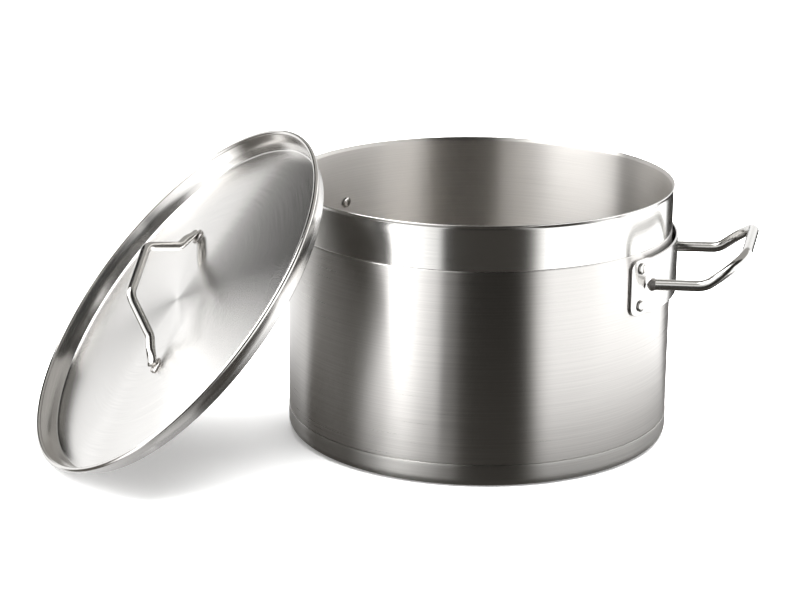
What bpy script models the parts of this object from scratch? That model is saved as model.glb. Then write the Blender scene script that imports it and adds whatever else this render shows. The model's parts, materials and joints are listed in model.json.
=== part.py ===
"""Stainless steel stock pot with two riveted tube handles and a lift-off lid.

Metres, +Z up. The origin is the centre of the pot's foot, on the floor. The right handle points
along +X. The lid rests as it is put down in a kitchen: edge on the floor, leaning on the left handle.
"""
import math

import bmesh
import bpy
from mathutils import Matrix, Vector

MM = 0.001
GAP = 0.3 * MM                      # clearance between two pieces that touch

# ---- pot -------------------------------------------------------------------------------------
POT_RADIUS = 180 * MM               # outside of the wall
POT_HEIGHT = 240 * MM               # floor to lip
WALL = 1.2 * MM                     # sheet of the shell
LIP_FLARE = 1.2 * MM                # how far the lip turns out
LIP_DEPTH = 4 * MM                  # height over which it turns out
BAND_LINE = 198.7 * MM              # rolled line where the polished band starts
BAND_LINE_DEPTH = 0.35 * MM
BAND_LINE_WIDTH = 1.4 * MM
POT_SEGMENTS = 64

# ---- clad bottom -----------------------------------------------------------------------------
CAP_HEIGHT = 21 * MM                # the cap reaches this far up the wall
CAP_PROUD = 0.4 * MM                # and stands this much proud of it
CAP_CORNER = 8 * MM                 # outer radius of the foot's edge
CAP_SHEET = 1.2 * MM
CORE_THICK = 6.6 * MM
CORE_RADIUS = 172 * MM
SHELL_CORNER = 6 * MM               # outer radius of the shell's own bottom edge

# ---- side handles ----------------------------------------------------------------------------
HANDLE_AZIMUTHS = {"right": 0.0, "left": 175.6}     # degrees; the left one sits a little off opposite
BRACKET_MID_Z = 167.6 * MM
BRACKET_HALF_HEIGHT = 25.8 * MM
BRACKET_HALF_ANGLE = 30.9           # degrees of the wall, each side of the handle
BRACKET_SHEET = 2.0 * MM
BRACKET_CORNER = 9 * MM
SADDLE_RISE = 3.4 * MM              # the middle of the plate stands this far off the wings
SADDLE_FLAT = 22.2                  # degrees: raised up to here
SADDLE_FOOT = 24.4                  # degrees: back on the wall from here
TUBE_RADIUS = 5.0 * MM
TUBE_BORE = 3.8 * MM
TUBE_SIDES = 10
ARM_HALF_SPAN = 68.9 * MM           # centreline of each arm from the handle's middle
ARM_START = 174.8 * MM              # square-cut end, by the raised plate
ARM_BEND = 219.2 * MM               # where the arm turns upwards
ARM_PITCH = 2.15                    # degrees of rise before the bend
SLOPE_PITCH = 37.6                  # degrees of rise after it
SLOPE_LENGTH = 42.1 * MM            # from the bend to the crossbar's centreline
ARM_BEND_RADIUS = 22 * MM
CROSSBAR_CORNER = 30 * MM

# ---- rivets ----------------------------------------------------------------------------------
RIVET_ANGLE = 26.5                  # degrees each side of the handle
RIVET_HALF_PITCH = 17.4 * MM
RIVET_SHANK = 2.5 * MM
RIVET_HOLE = 2.8 * MM
RIVET_HEAD = 5.3 * MM
RIVET_DOME = 2.5 * MM
RIVET_SIDES = 10

# ---- lid -------------------------------------------------------------------------------------
LID_SHEET = 1.2 * MM
LID_PANEL_RADIUS = 176.6 * MM       # where the panel meets the upright wall
LID_DOME = 11 * MM                  # rise of the panel's middle
LID_BEAD_RING = 185.2 * MM          # centreline radius of the rolled edge
LID_BEAD_HEIGHT = 16.1 * MM         # its height over the foot of the wall
LID_BEAD_RADIUS = 2.4 * MM
LID_SEGMENTS = 64
LID_LEAN = 48.65                    # degrees between the lid's plane and the floor
LID_AZIMUTH = 215.3                 # degrees: the way the lid's outer face looks
LID_STAND_AZIMUTH = 207.9           # degrees: where the lid's middle stands from the pot's axis
LID_STAND_OFF = 280.2 * MM          # and how far from it

# ---- lid handle ------------------------------------------------------------------------------
ROD_RADIUS = 4.4 * MM
ROD_SIDES = 10
ROD_TURN = -45.7                    # degrees from the lid's level line
ROD_FOOT = 81.9 * MM                # half lengths along the rod, and heights over its feet
ROD_KNEE = 54.7 * MM
ROD_KNEE_RISE = 11.0 * MM
ROD_CORNER = 29.8 * MM
ROD_TOP_RISE = 43.4 * MM
ROD_OFFSET = -4 * MM                # the rod sits this far off the lid's middle, along the level line
ROD_BEND = 13 * MM


# ---- small tools -----------------------------------------------------------------------------
def clear_scene():
    for ob in list(bpy.data.objects):
        bpy.data.objects.remove(ob, do_unlink=True)


def steel(name, colour, roughness):
    mat = bpy.data.materials.new(name)
    mat.use_nodes = True
    shader = mat.node_tree.nodes["Principled BSDF"]
    shader.inputs["Base Color"].default_value = (*colour, 1.0)
    shader.inputs["Metallic"].default_value = 1.0
    shader.inputs["Roughness"].default_value = roughness
    mat.diffuse_color = (*colour, 1.0)
    return mat


def finish(name, bm, material, sharp=35.0):
    """Close the shell, turn its faces outwards, shade it smooth and put it in the scene."""
    bmesh.ops.recalc_face_normals(bm, faces=bm.faces)
    if bm.calc_volume(signed=True) < 0:
        bmesh.ops.reverse_faces(bm, faces=bm.faces)
    mesh = bpy.data.meshes.new(name)
    bm.to_mesh(mesh)
    bm.free()
    mesh.shade_smooth()
    mesh.set_sharp_from_angle(angle=math.radians(sharp))
    mesh.materials.append(material)
    return place(name, mesh)


def place(name, mesh, parent=None):
    ob = bpy.data.objects.new(name, mesh)
    bpy.context.scene.collection.objects.link(ob)
    ob.parent = parent
    return ob


def turned(profile, segments):
    """Turn a profile of (radius, height) points round Z. Points on the axis become poles."""
    bm = bmesh.new()
    rings = []
    for r, z in profile:
        if r < 1e-9:
            rings.append([bm.verts.new((0, 0, z))])
        else:
            rings.append([bm.verts.new((r * math.cos(a), r * math.sin(a), z))
                          for a in (2 * math.pi * k / segments for k in range(segments))])
    for low, high in zip(rings[:-1], rings[1:]):
        for k in range(segments):
            j = (k + 1) % segments
            ring = [low[k % len(low)], low[j % len(low)], high[j % len(high)], high[k % len(high)]]
            face = list(dict.fromkeys(ring))
            if len(face) > 2:
                bm.faces.new(face)
    return bm


def arc(centre, radius, start, end, steps):
    """Points of an arc in the profile plane, angles in degrees."""
    out = []
    for k in range(steps + 1):
        a = math.radians(start + (end - start) * k / steps)
        out.append((centre[0] + radius * math.cos(a), centre[1] + radius * math.sin(a)))
    return out


def rounded_path(corners, radii, steps):
    """A polyline through the corners with each inner corner replaced by an arc."""
    pts = [Vector(corners[0])]
    for before, at, after, radius in zip(corners[:-2], corners[1:-1], corners[2:], radii):
        a = (Vector(before) - Vector(at)).normalized()
        b = (Vector(after) - Vector(at)).normalized()
        half = a.angle(b) / 2
        centre = Vector(at) + (a + b).normalized() * (radius / math.sin(half))
        start = Vector(at) + a * (radius / math.tan(half)) - centre
        end = Vector(at) + b * (radius / math.tan(half)) - centre
        sweep = start.angle(end)
        for k in range(steps + 1):
            t = k / steps
            pts.append(centre + (start * math.sin((1 - t) * sweep) + end * math.sin(t * sweep))
                       / math.sin(sweep))
    pts.append(Vector(corners[-1]))
    return pts


def swept(path, radius, sides, bore=0.0):
    """A round bar along the path, or a tube with both ends open when it has a bore."""
    bm = bmesh.new()
    tangents = []
    for k in range(len(path)):
        ahead = path[min(k + 1, len(path) - 1)] - path[k]
        behind = path[k] - path[max(k - 1, 0)]
        tangents.append((ahead.normalized() + behind.normalized()).normalized())
    side = tangents[0].orthogonal().normalized()
    outer, inner = [], []
    for point, tangent in zip(path, tangents):
        side = (side - tangent * side.dot(tangent)).normalized()
        up = tangent.cross(side)
        for rings, r in ((outer, radius), (inner, bore)):
            if r > 0:
                rings.append([bm.verts.new(point + (side * math.cos(a) + up * math.sin(a)) * r)
                              for a in (2 * math.pi * i / sides for i in range(sides))])
    for rings in (outer, inner):
        for low, high in zip(rings[:-1], rings[1:]):
            for i in range(sides):
                j = (i + 1) % sides
                bm.faces.new((low[i], low[j], high[j], high[i]))
    if bore > 0:
        for a, b in ((outer[0], inner[0]), (outer[-1], inner[-1])):
            for i in range(sides):
                j = (i + 1) % sides
                bm.faces.new((a[i], a[j], b[j], b[i]))
    else:
        bm.faces.new(outer[0])
        bm.faces.new(outer[-1])
    return bm


def blend(t):
    t = min(max(t, 0.0), 1.0)
    return t * t * (3 - 2 * t)


# ---- pot -------------------------------------------------------------------------------------
def pot_body(material):
    floor_low = CAP_SHEET + GAP + CORE_THICK + GAP
    neck = POT_RADIUS + CAP_PROUD - CAP_SHEET - GAP
    half = BAND_LINE_WIDTH / 2
    profile = [(0.0, floor_low), (neck * 0.5, floor_low)]
    profile += arc((neck - SHELL_CORNER, floor_low + SHELL_CORNER), SHELL_CORNER, -90, 0, 4)
    profile += [(neck, CAP_HEIGHT + GAP), (POT_RADIUS, CAP_HEIGHT + 2 * GAP),
                (POT_RADIUS, BAND_LINE - half), (POT_RADIUS - BAND_LINE_DEPTH, BAND_LINE),
                (POT_RADIUS, BAND_LINE + half), (POT_RADIUS, POT_HEIGHT - LIP_DEPTH)]
    profile += [(POT_RADIUS + LIP_FLARE, POT_HEIGHT - WALL * 0.6),
                (POT_RADIUS + LIP_FLARE - WALL * 0.5, POT_HEIGHT),
                (POT_RADIUS + LIP_FLARE - WALL * 1.1, POT_HEIGHT - WALL * 0.5),
                (POT_RADIUS - WALL, POT_HEIGHT - LIP_DEPTH - WALL),
                (POT_RADIUS - WALL, CAP_HEIGHT + WALL * 2)]
    inside = neck - WALL
    corner = SHELL_CORNER - WALL
    profile += [(inside, CAP_HEIGHT)]
    profile += arc((inside - corner, floor_low + WALL + corner), corner, 0, -90, 4)
    profile += [(inside * 0.5, floor_low + WALL), (0.0, floor_low + WALL)]
    return finish("pot_body", turned(profile, POT_SEGMENTS), material)


def base_cap(material):
    r = POT_RADIUS + CAP_PROUD
    inner = CAP_CORNER - CAP_SHEET
    profile = [(0.0, 0.0)]
    profile += arc((r - CAP_CORNER, CAP_CORNER), CAP_CORNER, -90, 0, 4)
    profile += [(r, CAP_HEIGHT), (r - CAP_SHEET, CAP_HEIGHT)]
    profile += arc((r - CAP_CORNER, CAP_CORNER), inner, 0, -90, 3)
    profile += [(0.0, CAP_SHEET)]
    return finish("base_cap", turned(profile, POT_SEGMENTS), material)


def base_core(material):
    low, high = CAP_SHEET + GAP, CAP_SHEET + GAP + CORE_THICK
    edge = 1.0 * MM
    profile = [(0.0, low), (CORE_RADIUS - edge, low), (CORE_RADIUS, low + edge),
               (CORE_RADIUS, high - edge), (CORE_RADIUS - edge, high), (0.0, high)]
    return finish("base_core", turned(profile, 48), material)


# ---- brackets, rivets and handles ------------------------------------------------------------
def saddle_radius(degrees):
    """Inner radius of the plate at an angle from the handle's middle."""
    t = (SADDLE_FOOT - abs(degrees)) / (SADDLE_FOOT - SADDLE_FLAT)
    return POT_RADIUS + GAP + SADDLE_RISE * blend(t)


def bracket(name, azimuth, material):
    """A plate wrapped round the wall, with rounded corners and its middle pressed outwards."""
    corner_angle = math.degrees(BRACKET_CORNER / POT_RADIUS)
    half = BRACKET_HALF_ANGLE
    stations = [half - corner_angle * (1 - math.cos(math.radians(a))) for a in (0, 22.5, 45, 67.5, 90)]
    stations += [SADDLE_FOOT + 0.6]
    stations += [SADDLE_FOOT - (SADDLE_FOOT - SADDLE_FLAT) * k / 4 for k in range(5)]
    stations += [19.0, 15.8, 12.6, 9.4, 6.2, 3.1]
    stations = sorted(stations)
    stations = [-s for s in reversed(stations)] + [0.0] + stations
    bm = bmesh.new()
    rows = []
    for s in stations:
        past = max(0.0, (abs(s) - (half - corner_angle)) / corner_angle)
        drop = BRACKET_CORNER * (1 - math.sqrt(max(0.0, 1 - past * past)))
        h = BRACKET_HALF_HEIGHT - drop
        a = math.radians(azimuth + s)
        low_r = saddle_radius(s)
        row = []
        for r, z in ((low_r, -h), (low_r + BRACKET_SHEET, -h), (low_r + BRACKET_SHEET, h), (low_r, h)):
            row.append(bm.verts.new((r * math.cos(a), r * math.sin(a), BRACKET_MID_Z + z)))
        rows.append(row)
    for one, two in zip(rows[:-1], rows[1:]):
        for i in range(4):
            j = (i + 1) % 4
            bm.faces.new((one[i], one[j], two[j], two[i]))
    bm.faces.new(rows[0])
    bm.faces.new(rows[-1])
    return finish(name, bm, material, sharp=30.0)


def rivet_frames(azimuth):
    """Each rivet's place on the outside of the wall, its own +Z pointing straight out."""
    frames = []
    for dz in (RIVET_HALF_PITCH, -RIVET_HALF_PITCH):
        for da in (-RIVET_ANGLE, RIVET_ANGLE):
            a = math.radians(azimuth + da)
            spot = Matrix.Translation((POT_RADIUS * math.cos(a), POT_RADIUS * math.sin(a),
                                       BRACKET_MID_Z + dz))
            frames.append(spot @ Matrix.Rotation(a, 4, "Z") @ Matrix.Rotation(math.pi / 2, 4, "Y"))
    return frames


def rivet_mesh(material):
    """Domed head inside the pot, shank through wall and plate, domed head outside."""
    inside = -(WALL + 1.5 * GAP)
    outside = GAP + BRACKET_SHEET + GAP
    profile = [(0.0, inside - RIVET_DOME)]
    profile += [(RIVET_HEAD * math.sin(t), inside - RIVET_DOME * math.cos(t))
                for t in (math.radians(a) for a in (32, 64))]
    profile += [(RIVET_HEAD, inside), (RIVET_SHANK, inside), (RIVET_SHANK, outside),
                (RIVET_HEAD, outside)]
    profile += [(RIVET_HEAD * math.sin(t), outside + RIVET_DOME * math.cos(t))
                for t in (math.radians(a) for a in (64, 32))]
    profile += [(0.0, outside + RIVET_DOME)]
    ob = finish("rivet_shape", turned(profile, RIVET_SIDES), material)
    mesh = ob.data
    bpy.data.objects.remove(ob)
    return mesh


def rivet_holes(name, azimuth):
    """Cutter: four round pins where one bracket's rivets go through."""
    bm = bmesh.new()
    for frame in rivet_frames(azimuth):
        bmesh.ops.create_cone(bm, cap_ends=True, segments=RIVET_SIDES, radius1=RIVET_HOLE,
                              radius2=RIVET_HOLE, depth=16 * MM, matrix=frame)
    mesh = bpy.data.meshes.new(name)
    bm.to_mesh(mesh)
    bm.free()
    ob = place(name, mesh)
    ob.hide_render = True
    ob.display_type = "WIRE"
    return ob


def cut(ob, cutter):
    mod = ob.modifiers.new("holes_" + cutter.name, "BOOLEAN")
    mod.operation = "DIFFERENCE"
    mod.solver = "EXACT"
    mod.object = cutter


def handle_path(azimuth):
    out = Vector((math.cos(math.radians(azimuth)), math.sin(math.radians(azimuth)), 0))
    along = Vector((-out.y, out.x, 0))
    rise = math.tan(math.radians(ARM_PITCH))
    slope = math.radians(SLOPE_PITCH)

    def spot(r, side):
        if r <= ARM_BEND:
            z = BRACKET_MID_Z + (r - ARM_START) * rise
        else:
            z = BRACKET_MID_Z + (ARM_BEND - ARM_START) * rise + (r - ARM_BEND) * math.tan(slope)
        return out * r + along * side * ARM_HALF_SPAN + Vector((0, 0, z))

    bar = ARM_BEND + SLOPE_LENGTH * math.cos(slope)
    corners = [spot(ARM_START, -1), spot(ARM_BEND, -1), spot(bar, -1),
               spot(bar, 1), spot(ARM_BEND, 1), spot(ARM_START, 1)]
    return rounded_path(corners, [ARM_BEND_RADIUS, CROSSBAR_CORNER, CROSSBAR_CORNER, ARM_BEND_RADIUS], 5)


# ---- lid -------------------------------------------------------------------------------------
def lid_frame():
    """Empty at the middle of the lid's lower plane; its +Z is the way the lid's outer face looks."""
    frame = bpy.data.objects.new("lid_frame", None)
    bpy.context.scene.collection.objects.link(frame)
    lean = math.radians(LID_LEAN)
    height = (LID_PANEL_RADIUS + 1.3 * MM) * math.sin(lean) + 0.6 * MM * math.cos(lean)
    stand = math.radians(LID_STAND_AZIMUTH)
    frame.location = (LID_STAND_OFF * math.cos(stand), LID_STAND_OFF * math.sin(stand), height)
    frame.rotation_euler = (lean, 0, math.radians(LID_AZIMUTH + 90))
    return frame


def dome(r):
    return LID_DOME * (1 - (r / LID_PANEL_RADIUS) ** 2)


def lid_panel(material, frame):
    """One pressed sheet: domed panel, upright wall that opens outwards, rolled edge."""
    bead = (LID_BEAD_RING, LID_BEAD_HEIGHT)
    spread = [0.97, 0.85, 0.65, 0.4]
    rp = LID_PANEL_RADIUS
    profile = [(0.0, LID_DOME)]
    profile += [(rp * s, dome(rp * s)) for s in reversed(spread)]
    profile += [(rp + 0.4 * MM, 0.6 * MM), (rp + 1.2 * MM, 3 * MM), (rp + 2.8 * MM, 9 * MM),
                (rp + 5.0 * MM, 14.6 * MM)]
    profile += arc(bead, LID_BEAD_RADIUS, 195, -140, 7)[1:]
    profile += [(rp + 3.9 * MM, 8.8 * MM), (rp + 2.3 * MM, 2.6 * MM), (rp + 1.3 * MM, -0.6 * MM),
                (rp - 0.6 * MM, -LID_SHEET)]
    profile += [(rp * s, dome(rp * s) - LID_SHEET) for s in spread]
    profile += [(0.0, LID_DOME - LID_SHEET)]
    ob = finish("lid_panel", turned(profile, LID_SEGMENTS), material)
    ob.parent = frame
    return ob


def lid_handle(material, frame):
    foot_z = dome(ROD_FOOT) + ROD_RADIUS + 2 * GAP
    points = []
    for side in (-1, 1):
        leg = [(ROD_FOOT, 0.0), (ROD_KNEE, ROD_KNEE_RISE), (ROD_CORNER, ROD_TOP_RISE)]
        leg = [Vector((side * s, 0, foot_z + h)) for s, h in leg]
        points += leg if side < 0 else list(reversed(leg))
    path = rounded_path(points, [ROD_BEND] * 4, 4)
    ob = finish("lid_handle", swept(path, ROD_RADIUS, ROD_SIDES), material)
    ob.parent = frame
    ob.location = (ROD_OFFSET, 0, 0)
    ob.rotation_euler = (0, 0, math.radians(ROD_TURN))
    return ob


# ---- build -----------------------------------------------------------------------------------
def build():
    clear_scene()
    shell_steel = steel("shell_brushed_steel", (0.62, 0.60, 0.57), 0.30)
    cap_steel = steel("cap_turned_steel", (0.60, 0.58, 0.55), 0.28)
    core_metal = steel("core_aluminium", (0.78, 0.78, 0.79), 0.45)
    plate_steel = steel("bracket_satin_steel", (0.68, 0.67, 0.65), 0.22)
    tube_steel = steel("handle_polished_steel", (0.70, 0.69, 0.67), 0.10)
    rivet_steel = steel("rivet_polished_steel", (0.72, 0.71, 0.69), 0.12)
    lid_steel = steel("lid_satin_steel", (0.70, 0.69, 0.67), 0.16)
    rod_steel = steel("rod_polished_steel", (0.70, 0.69, 0.67), 0.12)

    body = pot_body(shell_steel)
    base_core(core_metal)
    base_cap(cap_steel)

    shape = rivet_mesh(rivet_steel)
    for side, azimuth in HANDLE_AZIMUTHS.items():
        holes = rivet_holes("rivet_holes_" + side, azimuth)
        plate = bracket("bracket_" + side, azimuth, plate_steel)
        cut(body, holes)
        cut(plate, holes)
        finish("handle_" + side, swept(handle_path(azimuth), TUBE_RADIUS, TUBE_SIDES, TUBE_BORE),
               tube_steel)
        for number, spot in enumerate(rivet_frames(azimuth), start=1):
            place(f"rivet_{side}_{number}", shape).matrix_world = spot

    frame = lid_frame()
    lid_panel(lid_steel, frame)
    lid_handle(rod_steel, frame)


build()
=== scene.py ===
# %% [markdown]
# # A stainless stock pot with its lid
# This notebook dresses a finished engineering model of a catering stock pot. The model already says
# where every piece is and how the lid moves, so nothing here is measured twice: each fine surface is
# worked out from the same few sizes and laid over its engineering twin.
#
# The pot is made of sheet and bar: a drawn shell, a clad bottom, two tube handles welded to riveted
# plates, and a lid with a bent rod handle.

# %% Load the engineering model
import json
import math

import bmesh
import bpy
import numpy as np
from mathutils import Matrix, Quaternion, Vector


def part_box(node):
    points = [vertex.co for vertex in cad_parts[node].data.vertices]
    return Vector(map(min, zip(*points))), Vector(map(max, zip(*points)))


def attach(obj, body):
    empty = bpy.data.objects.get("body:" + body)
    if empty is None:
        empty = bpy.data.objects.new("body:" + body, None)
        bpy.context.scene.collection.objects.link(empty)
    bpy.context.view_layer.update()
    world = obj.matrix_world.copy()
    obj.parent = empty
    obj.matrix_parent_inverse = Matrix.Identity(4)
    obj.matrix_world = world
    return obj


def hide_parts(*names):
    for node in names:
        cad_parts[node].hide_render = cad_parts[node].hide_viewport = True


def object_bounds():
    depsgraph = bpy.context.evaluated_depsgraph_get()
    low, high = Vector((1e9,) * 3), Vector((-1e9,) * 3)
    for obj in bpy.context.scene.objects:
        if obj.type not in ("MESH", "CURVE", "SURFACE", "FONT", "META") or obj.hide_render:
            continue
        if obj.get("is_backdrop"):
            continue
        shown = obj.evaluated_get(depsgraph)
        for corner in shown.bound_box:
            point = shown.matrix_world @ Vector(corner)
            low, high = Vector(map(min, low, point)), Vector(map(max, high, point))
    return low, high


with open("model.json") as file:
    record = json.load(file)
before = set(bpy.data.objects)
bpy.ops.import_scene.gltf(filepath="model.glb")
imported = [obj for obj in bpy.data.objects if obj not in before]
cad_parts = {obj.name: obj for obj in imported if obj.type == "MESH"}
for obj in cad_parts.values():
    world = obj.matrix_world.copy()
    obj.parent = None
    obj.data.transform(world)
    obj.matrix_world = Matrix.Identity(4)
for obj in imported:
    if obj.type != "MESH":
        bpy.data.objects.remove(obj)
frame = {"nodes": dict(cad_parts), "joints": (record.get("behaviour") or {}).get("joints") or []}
cad_box = [list(corner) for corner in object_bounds()]
print("nodes:", ", ".join(sorted(frame["nodes"])))

# %% [markdown]
# ## Sizes
# A few driving sizes come straight from the model's own boxes, such as the pot's height and the way
# the lid faces. The sheet gauges and small radii can't be read from a box, so they are named here.
# Everything is in metres, written as so many millimetres.

# %% Sizes of the pot, read from the model
MM = 0.001
POT_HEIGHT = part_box("pot_body")[1].z
LIP_FLARE = 1.2 * MM
POT_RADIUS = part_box("pot_body")[1].x - LIP_FLARE
WALL = 1.2 * MM
CAP_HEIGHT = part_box("base_cap")[1].z
CAP_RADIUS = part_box("base_cap")[1].x
CAP_SHEET = 1.2 * MM
FLOOR_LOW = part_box("pot_body")[0].z
print(f"pot {POT_RADIUS * 2000:.0f} mm across, {POT_HEIGHT * 1000:.0f} mm high")


def node_points(name):
    """All corners of a model node as one array."""
    mesh = frame["nodes"][name].data
    flat = np.zeros(len(mesh.vertices) * 3, np.float32)
    mesh.vertices.foreach_get("co", flat)
    return flat.reshape(-1, 3).astype(float)


# %% Where the handles and the lid are
def azimuth_of(name):
    middle = node_points(name).mean(0)
    return math.atan2(middle[1], middle[0])


HANDLE_AZIMUTHS = {side: azimuth_of("bracket_" + side) for side in ("right", "left")}
lid_out = np.array(frame["joints"][0]["axis"], float)
lid_out /= np.linalg.norm(lid_out)
lid_level = np.array([-lid_out[1], lid_out[0], 0.0])
lid_level /= np.linalg.norm(lid_level)
lid_up = np.cross(lid_out, lid_level)
LID_SHEET = 1.2 * MM
lid_corners = node_points("lid_panel")
lid_origin = lid_corners.mean(0)
lid_origin += lid_out * ((lid_corners @ lid_out).min() + LID_SHEET - lid_origin @ lid_out)
print({side: round(math.degrees(a), 1) for side, a in HANDLE_AZIMUTHS.items()}, lid_origin.round(4))

# %% [markdown]
# ## Turning a grid into a mesh
# Every surface below is a function of two parameters, worked out on a grid: `u` runs along the
# grinding or drawing lines of the metal and `v` across them. One helper puts such a grid into a mesh.
# Its UV map holds real lengths, so a scratch pattern has the same scale on every piece, and the shader
# can ask which way the lines run. Points that coincide at a seam or a pole are merged, so each piece
# ends as one closed skin, and its signed volume says whether the faces look outwards.


# %% Grid to mesh
def grid_faces(rows, columns):
    """Four corner numbers for each cell of a grid of points stored row by row."""
    r, c = np.meshgrid(np.arange(rows - 1), np.arange(columns - 1), indexing="ij")
    first = (r * columns + c).ravel()
    return np.stack([first, first + 1, first + columns + 1, first + columns], 1)


def steel_piece(name, points, lengths, body, materials, stands_for=(), finish=None, sharp=38.0):
    """A closed piece from a grid of points (rows, columns, 3).

    lengths is the same grid of (u, v) in metres. finish gives each row of cells its material number.
    """
    rows, columns = points.shape[:2]
    faces = grid_faces(rows, columns)
    mesh = bpy.data.meshes.new(name)
    mesh.from_pydata(points.reshape(-1, 3).tolist(), [], faces.tolist())
    uv = mesh.uv_layers.new(name="lines")
    uv.data.foreach_set("uv", lengths.reshape(-1, 2)[faces.ravel()].astype(np.float32).ravel())
    if finish is not None:
        cells = np.repeat(np.asarray(finish, np.int32), columns - 1)
        mesh.polygons.foreach_set("material_index", cells)
    close_skin(mesh)
    for material in materials:
        mesh.materials.append(material)
    mesh.shade_smooth()
    mesh.set_sharp_from_angle(angle=math.radians(sharp))
    piece = bpy.data.objects.new(name, mesh)
    bpy.context.scene.collection.objects.link(piece)
    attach(piece, body)
    if stands_for:
        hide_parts(*stands_for)
    print(f"{name}: {sum(len(p.vertices) - 2 for p in mesh.polygons)} triangles")
    return piece


def close_skin(mesh):
    """Merge what coincides and turn the faces outwards if the volume comes out negative."""
    bm = bmesh.new()
    bm.from_mesh(mesh)
    bmesh.ops.remove_doubles(bm, verts=bm.verts, dist=2e-6)
    if bm.calc_volume(signed=True) < 0:
        bmesh.ops.reverse_faces(bm, faces=bm.faces)
    open_edges = sum(1 for e in bm.edges if len(e.link_faces) != 2)
    if open_edges:
        print(f"  {mesh.name}: {open_edges} edges aren't shared by two faces")
    bm.to_mesh(mesh)
    bm.free()


# %% [markdown]
# ## Outlines
# Sheet metal has no knife edges: every corner is a small arc. An outline is written as its few corner
# points, each with a radius, and the arcs are worked out. The same helper serves flat outlines that
# are turned on a lathe and bent bars that run through space.


# %% Rounded outline through corner points
def rounded(corners, radii, steps=8):
    """Corner points joined by straight lines, each inner corner replaced by an arc of its radius.

    The arc touches both lines at radius / tan(half the angle between them) from the corner.
    """
    corners = [np.asarray(c, float) for c in corners]
    parts = [corners[:1]]
    for before, at, after, radius in zip(corners[:-2], corners[1:-1], corners[2:], radii):
        a, b = before - at, after - at
        a, b = a / np.linalg.norm(a), b / np.linalg.norm(b)
        half = math.acos(np.clip(a @ b, -1, 1)) / 2
        middle = at + (a + b) / np.linalg.norm(a + b) * radius / math.sin(half)
        start = at + a * radius / math.tan(half) - middle
        end = at + b * radius / math.tan(half) - middle
        sweep = math.acos(np.clip(start @ end / radius ** 2, -1, 1))
        t = np.linspace(0, 1, steps + 1)[:, None]
        swung = start * np.sin((1 - t) * sweep) + end * np.sin(t * sweep)
        parts.append(middle + swung / math.sin(sweep))
    parts.append(corners[-1:])
    return np.vstack(parts)


def arc(centre, radius, start, end, steps=8):
    """Points of a flat arc, its angles in degrees."""
    a = np.radians(np.linspace(start, end, steps + 1))
    return np.stack([centre[0] + radius * np.cos(a), centre[1] + radius * np.sin(a)], 1)


def run_length(points):
    """How far along a line each of its points is."""
    return np.concatenate([[0.0], np.cumsum(np.linalg.norm(np.diff(points, axis=0), axis=1))])


# %% [markdown]
# ## Turned pieces
# The shell, the bottom cap, the lid and the rivets are all round, so each is an outline of radius and
# height carried once round its own axis. Blender's Screw modifier could do it, but working the grid
# out directly also gives the true length round and along the sheet for the grinding lines.


# %% Turned piece
def turned(profile, segments, origin=(0, 0, 0), axes=np.eye(3)):
    """Each outline point (r, h) goes to origin + r (cos a X + sin a Y) + h Z, a from 0 to a full turn.

    Returns the points and, for each, (length round at the widest radius, length along the outline).
    """
    a = np.linspace(0, 2 * math.pi, segments + 1)
    r, h = profile[:, 0][:, None], profile[:, 1][:, None]
    local = np.stack([r * np.cos(a), r * np.sin(a), h + 0 * a], -1)
    points = np.asarray(origin, float) + local @ np.asarray(axes, float)
    around = np.broadcast_to(a * profile[:, 0].max(), points.shape[:2])
    along = np.broadcast_to(run_length(profile)[:, None], points.shape[:2])
    return points, np.stack([around, along], -1)


# %% [markdown]
# ## Steel
# All visible pieces are the same 18/10 steel, and only its surface changes: ground with a belt, turned
# against an abrasive pad, or buffed to a mirror. Fine scratches lie side by side along `u`, so light
# spreads across them much more than along them. The shader's anisotropy does just that. Noise stretched
# a hundred times along `u` adds the lines themselves, as a slight change of roughness and shade and a
# shallow bump, and a broad faint noise keeps large areas from looking printed. The alternative, a
# scratched image wrapped round each piece, would repeat and would blur close up.


# %% Steel finish
LINE_STRETCH = 100


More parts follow.
